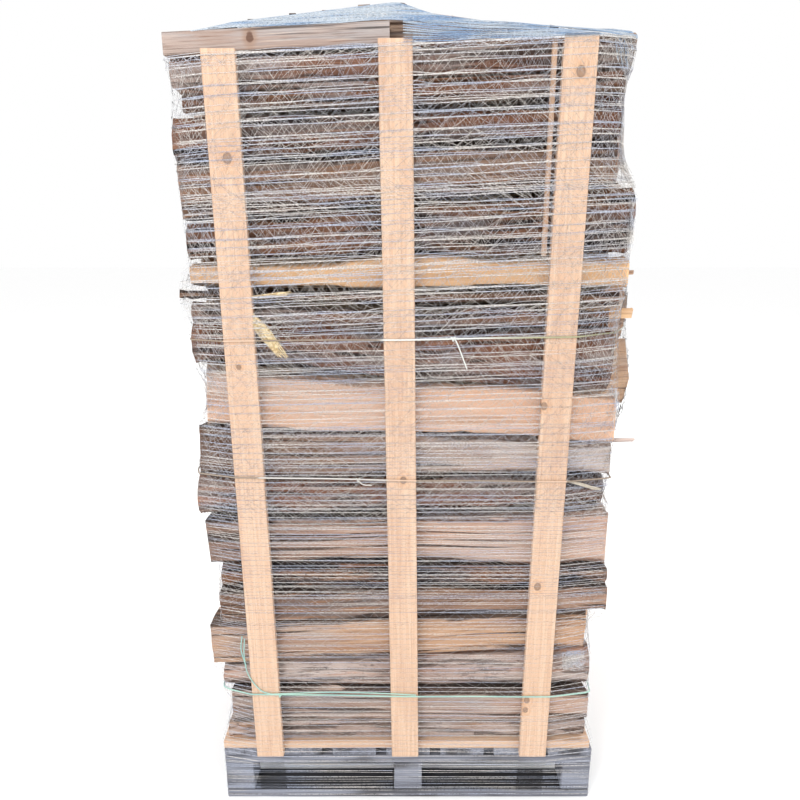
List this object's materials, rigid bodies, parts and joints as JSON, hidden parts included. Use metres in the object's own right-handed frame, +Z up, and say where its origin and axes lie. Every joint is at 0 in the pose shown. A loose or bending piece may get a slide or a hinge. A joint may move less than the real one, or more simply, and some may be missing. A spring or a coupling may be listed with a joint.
{
  "type": "pile of firewood",
  "caption": "Metre-long split logs stacked on a wooden pallet between upright battens, tied with twine and wound in a thin net.",
  "frame": {"origin": "middle of the pallet's underside, on the floor", "axes": "+Z up, X along the logs, -Y towards the front of the stack"},
  "size_m": [1.0786, 1.0484, 2.0098],
  "materials": {
    "weathered_pine": "rough sawn, greyed by weather",
    "fresh_pine": "sawn, pale, with knots",
    "split_wood": "split along the grain, fibrous",
    "bark": "rough bark, brown to grey",
    "stacked_logs": "bark and split faces side by side",
    "net_thread": "thin knitted plastic thread",
    "twine_upper": "twisted plastic twine",
    "twine_middle": "twisted plastic twine",
    "twine_lower": "twisted plastic twine"
  },
  "bodies": {
    "root": {"batten_back_centre": "fresh_pine", "batten_back_left": "fresh_pine", "batten_back_right": "fresh_pine", "batten_front_centre": "fresh_pine", "batten_front_left": "fresh_pine", "batten_front_narrow": "fresh_pine", "batten_front_right": "fresh_pine", "bearer_back": "fresh_pine", "bearer_front": "fresh_pine", "crown_log": "bark", "front_log_01": "bark", "front_log_02": "split_wood", "front_log_03": "bark", "front_log_04": "split_wood", "front_log_05": "split_wood", "front_log_06": "bark", "front_log_07": "split_wood", "front_log_08": "bark", "front_log_09": "split_wood", "front_log_10": "split_wood", "front_log_11": "bark", "front_log_12": "bark", "front_log_13": "split_wood", "front_log_14": "split_wood", "front_log_15": "bark", "front_log_16": "split_wood", "front_log_17": "bark", "front_log_18": "bark", "front_log_19": "bark", "inner_course_01": "stacked_logs", "inner_course_02": "stacked_logs", "inner_course_03": "stacked_logs", "inner_course_04": "stacked_logs", "inner_course_05": "stacked_logs", "inner_course_06": "stacked_logs", "inner_course_07": "stacked_logs", "inner_course_08": "stacked_logs", "inner_course_09": "stacked_logs", "inner_course_10": "stacked_logs", "inner_course_11": "stacked_logs", "inner_course_12": "stacked_logs", "inner_course_13": "stacked_logs", "net": "net_thread", "pallet_base_board_back": "weathered_pine", "pallet_base_board_front": "weathered_pine", "pallet_base_board_middle": "weathered_pine", "pallet_block_back_centre": "weathered_pine", "pallet_block_back_left": "weathered_pine", "pallet_block_back_right": "weathered_pine", "pallet_block_front_centre": "weathered_pine", "pallet_block_front_left": "weathered_pine", "pallet_block_front_right": "weathered_pine", "pallet_block_middle_centre": "weathered_pine", "pallet_block_middle_left": "weathered_pine", "pallet_block_middle_right": "weathered_pine", "pallet_deck": "weathered_pine", "top_piece_left": "split_wood", "twine_lower": "twine_lower", "twine_middle": "twine_middle", "twine_upper": "twine_upper"}
  },
  "joints": []
}
